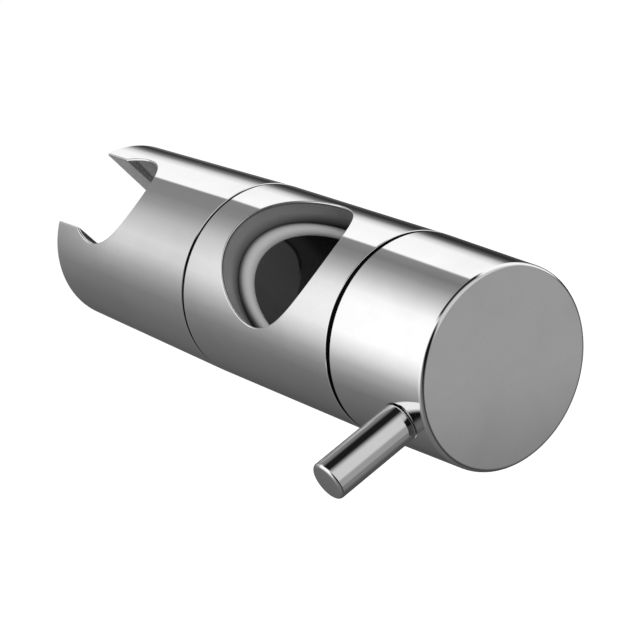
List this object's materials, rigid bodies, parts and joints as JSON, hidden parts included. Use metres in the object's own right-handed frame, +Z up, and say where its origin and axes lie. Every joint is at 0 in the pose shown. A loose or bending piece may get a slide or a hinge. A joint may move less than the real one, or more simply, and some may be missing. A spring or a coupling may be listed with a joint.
{
  "type": "shower rail slider",
  "caption": "Chromed cylindrical bracket that grips a round riser rail with a lever knob and holds a hand shower in a tilting slotted cone.",
  "frame": {"origin": "where the axis of the riser rail crosses the bracket's own axis", "axes": "+Z up the rail, towards the wide mouth of the handset seat; +X along the bracket to the clamp knob; -X to the handset holder"},
  "size_m": [0.1371, 0.063, 0.044],
  "materials": {
    "chrome": "polished chrome plate on brass",
    "grey_plastic": "moulded light grey acetal",
    "dark_plastic": "moulded near-black acetal",
    "rubber": "plain black rubber",
    "brass": "turned, unplated",
    "steel": "bright stainless steel"
  },
  "bodies": {
    "body": {"rail_body": "chrome", "rail_bush": "grey_plastic", "rail_cradle": "dark_plastic", "bearing_plug": "brass", "spindle_o_ring": "rubber", "inner_thrust_washer": "dark_plastic", "outer_thrust_washer": "dark_plastic", "knob_washer": "dark_plastic", "tilt_washer": "dark_plastic"},
    "knob": {"clamp_knob": "chrome", "clamp_lever": "chrome", "clamp_spindle": "brass", "spindle_circlip": "steel"},
    "shoe": {"brake_shoe": "dark_plastic", "shoe_pad": "rubber", "shoe_nut": "brass"},
    "holder": {"handset_holder": "chrome", "pivot_stud": "steel", "stud_washer": "steel", "disc_spring": "steel", "lock_nut": "steel"}
  },
  "joints": [
    {"name": "knob_turn", "type": "hinge", "parent": "body", "child": "knob", "pos_m": [0.04145, 0, 0], "axis": [-1, 0, 0], "range_deg": [-60, 180]},
    {"name": "shoe_slide", "type": "slide", "parent": "body", "child": "shoe", "axis": [-1, 0, 0], "range_m": [-0.00035, 0.00102]},
    {"name": "holder_tilt", "type": "hinge", "parent": "body", "child": "holder", "pos_m": [-0.0261, 0, 0], "axis": [1, 0, 0], "continuous": true}
  ],
  "couplings": [
    {"joint": "shoe_slide", "follows": "knob_turn", "m_per_rad": 0.00031831}
  ]
}
